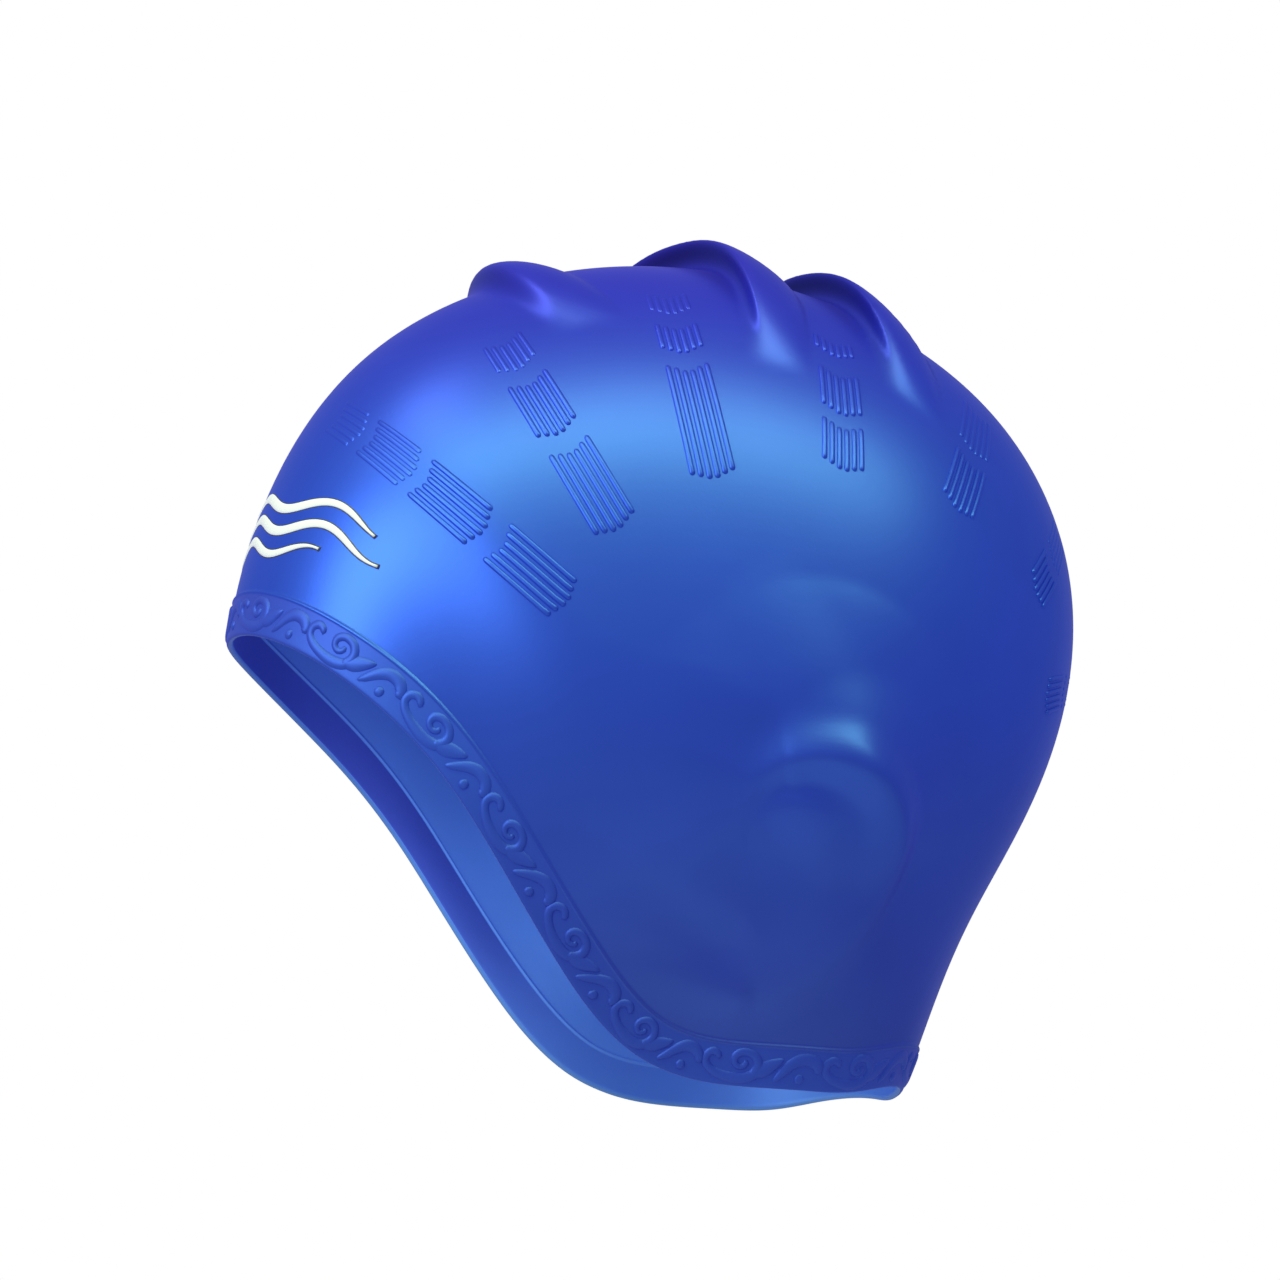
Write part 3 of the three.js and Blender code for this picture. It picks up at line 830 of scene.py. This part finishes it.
def times(tree, color, factor):
    product = add_node(tree, "ShaderNodeVectorMath", {0: color, "Scale": factor}, operation="SCALE")
    return product.outputs[0]


def cloud_factor(tree, place):
    noise = {"Vector": place, "Scale": CLOUD["scale"], "Detail": CLOUD["detail"]}
    cloud = add_node(tree, "ShaderNodeTexNoise", noise)
    return factor_from(tree, cloud.outputs["Fac"], CLOUD["darkest"], CLOUD["lightest"])


# Painted shade: a factor that darkens the base colour in the hollows under the fold crests.
def painted_shade_factor(tree):
    hollow = add_node(tree, "ShaderNodeAttribute", {}, attribute_name=HOLLOW_ATTRIBUTE)
    return factor_from(tree, hollow.outputs["Fac"], 1.0, HOLLOW_SHADE)


def moulded_grain(tree, place):
    grain = add_node(tree, "ShaderNodeTexNoise", {"Vector": place, "Scale": GRAIN["scale"]})
    height = {"Height": grain.outputs["Fac"], "Strength": GRAIN["strength"], "Distance": GRAIN["depth"]}
    return add_node(tree, "ShaderNodeBump", height).outputs["Normal"]


def silicone_material(look):
    """Satin pearl silicone: a blue that shifts slowly with height as painted shade, with a faint cloud,
    painted shade in the fold hollows and a moulded grain.
    """
    blues = look["blues"]
    material, shader = principled(look["name"], blues[1][1], look["roughness"], look["metallic"])
    tree = material.node_tree
    place = tree.nodes.new("ShaderNodeTexCoord").outputs["Object"]
    clouded = times(tree, blue_with_painted_shade(tree, place, blues), cloud_factor(tree, place))
    # The base colour is darkened by the painted shade in the fold hollows.
    tree.links.new(times(tree, clouded, painted_shade_factor(tree)), shader.inputs["Base Color"])
    tree.links.new(moulded_grain(tree, place), shader.inputs["Normal"])
    for socket, value in GLOSS.items():
        shader.inputs[socket].default_value = value
    return material


INKS = {
    "dark": {"name": "print_outline_ink", "color": (0.02, 0.03, 0.12)},
    "pale": {"name": "print_white_ink", "color": (0.76, 0.78, 0.98)},
}
INK_ROUGHNESS = 0.45


def ink_material(ink):
    material, _ = principled(ink["name"], ink["color"], INK_ROUGHNESS)
    return material


def make_shell(silicones):
    points, faces, painted_shades, slots = shell_mesh()
    shell = make_piece("cap_shell_moulding", points, faces, silicones[OUTSIDE])
    for silicone in silicones[1:]:
        shell.data.materials.append(silicone)
    shell.data.polygons.foreach_set("material_index", slots)
    # Each point's painted shade in the fold hollows.
    shell.data.attributes.new(HOLLOW_ATTRIBUTE, "FLOAT", "POINT").data.foreach_set("value", painted_shades)
    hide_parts(NODE)


def make_cap():
    silicones = [silicone_material(look) for look in SILICONES]
    make_shell(silicones)
    make_piece("crown_ribs", *join(rib_strips()), silicones[OUTSIDE])
    make_piece("hem_scrolls", *join(scroll_strips()), silicones[HEM_OUTSIDE])
    outline = join(wave_strips(WAVE["edge"], INK["dark"]))
    make_piece("front_waves_outline", *outline, ink_material(INKS["dark"]))
    waves = join(wave_strips(0.0, INK["dark"] + INK["pale"]))
    make_piece("front_waves", *waves, ink_material(INKS["pale"]))


# Camera at the photograph's angle, from a little below and in front of the side. The photo is 1280 px wide,
# and the cap's centre is at a known pixel in it.

PHOTO_WIDTH = 1280
VIEW = {"azimuth": 79.0, "elevation": -7.0, "distance": 1100.0, "mm_per_px": 0.24, "near": 0.01}
CENTRE_IN_PHOTO = (690.0, 770.0)
SENSOR = 36.0


def make_camera():
    a, e = math.radians(VIEW["azimuth"]), math.radians(VIEW["elevation"])
    back = Vector((math.sin(a) * math.cos(e), -math.cos(a) * math.cos(e), math.sin(e)))
    right = Vector((math.cos(a), math.sin(a), 0))
    up = back.cross(right)
    scale = VIEW["mm_per_px"]
    across = (PHOTO_WIDTH / 2 - CENTRE_IN_PHOTO[0]) * scale
    above = (CENTRE_IN_PHOTO[1] - PHOTO_WIDTH / 2) * scale
    centre = Vector(CENTRE)
    place = centre + back * VIEW["distance"]
    aim = centre + right * across + up * above
    data = bpy.data.cameras.new("camera")
    data.sensor_width = SENSOR
    data.lens = SENSOR * VIEW["distance"] / scale / PHOTO_WIDTH
    data.clip_start = VIEW["near"]
    camera = bpy.data.objects.new("camera", data)
    camera.location = place * MM
    camera.rotation_mode = "QUATERNION"
    camera.rotation_quaternion = (aim - place).to_track_quat("-Z", "Y")
    bpy.context.scene.collection.objects.link(camera)
    bpy.context.scene.camera = camera


# The studio, in metres: a pale floor well below the cap, soft lights and a tinted ambient light. The camera
# sees plain white behind the floor.

FLOOR = {"z": -1.0, "size": 8.0, "color": (0.86, 0.87, 0.84), "roughness": 0.7}
LIGHTS = [
    {
        "name": "key", "place": (0.75, -0.1, 0.95), "size": (0.3, 2.2),
        "power": 15.5, "color": (0.93, 1.2, 0.27),
    },
    {
        "name": "over", "place": (0.2, -0.75, 0.9), "size": (0.4, 0.4),
        "power": 2.4, "color": (0.95, 0.95, 0.5),
    },
    {
        "name": "front", "place": (0.45, -1.0, 0.2), "size": (0.5, 0.5),
        "power": 5.5, "color": (0.93, 1.05, 0.7),
    },
]
# A small lamp in the hollow stands for the light that thin silicone lets through.
GLOW = {"place": (0.01, -0.03, -0.12), "radius": 0.025, "power": 0.075, "color": (0.93, 0.97, 1.0)}
AMBIENT = {"strength": 0.4, "color": (0.9, 0.78, 1.22)}
BACKDROP = (1.0, 1.0, 1.0)


def make_floor():
    mesh = bpy.data.meshes.new("floor")
    half, z = FLOOR["size"] / 2, FLOOR["z"]
    corners = [(-half, -half, z), (half, -half, z), (half, half, z), (-half, half, z)]
    mesh.from_pydata(corners, [], [(0, 1, 2, 3)])
    floor = bpy.data.objects.new("floor", mesh)
    material, _ = principled("floor_pale", FLOOR["color"], FLOOR["roughness"])
    mesh.materials.append(material)
    bpy.context.scene.collection.objects.link(floor)


def add_lamp(data, light):
    lamp = bpy.data.objects.new(data.name, data)
    lamp.location = light["place"]
    lamp.visible_camera = False
    data.energy = light["power"]
    data.color = light["color"]
    bpy.context.scene.collection.objects.link(lamp)
    return lamp


def make_lights():
    for light in LIGHTS:
        data = bpy.data.lights.new(light["name"], "AREA")
        data.shape = "RECTANGLE"
        data.size, data.size_y = light["size"]
        lamp = add_lamp(data, light)
        back = (Vector(light["place"]) - Vector(CENTRE) * MM).normalized()
        along = Vector((0, 1, 0)) if abs(back.y) < NEARLY_ALONG else Vector((0, 0, 1))
        side = along.cross(back).normalized()
        lamp.rotation_mode = "QUATERNION"
        lamp.rotation_quaternion = Matrix((side, back.cross(side), back)).transposed().to_quaternion()
    glow = bpy.data.lights.new("glow", "POINT")
    glow.shadow_soft_size = GLOW["radius"]
    add_lamp(glow, GLOW)


def make_world():
    world = bpy.data.worlds.new("studio")
    world.use_nodes = True
    nodes, links = world.node_tree.nodes, world.node_tree.links
    seen = nodes["Background"]
    seen.inputs["Color"].default_value = (*BACKDROP, 1)
    ambient = nodes.new("ShaderNodeBackground")
    ambient.inputs["Color"].default_value = (*AMBIENT["color"], 1)
    ambient.inputs["Strength"].default_value = AMBIENT["strength"]
    path = nodes.new("ShaderNodeLightPath")
    mix = nodes.new("ShaderNodeMixShader")
    links.new(path.outputs["Is Camera Ray"], mix.inputs[0])
    links.new(ambient.outputs[0], mix.inputs[1])
    links.new(seen.outputs[0], mix.inputs[2])
    links.new(mix.outputs[0], nodes["World Output"].inputs["Surface"])
    bpy.context.scene.world = world


make_camera()
make_cap()
make_floor()
make_lights()
make_world()
bpy.context.scene.view_settings.view_transform = "Standard"
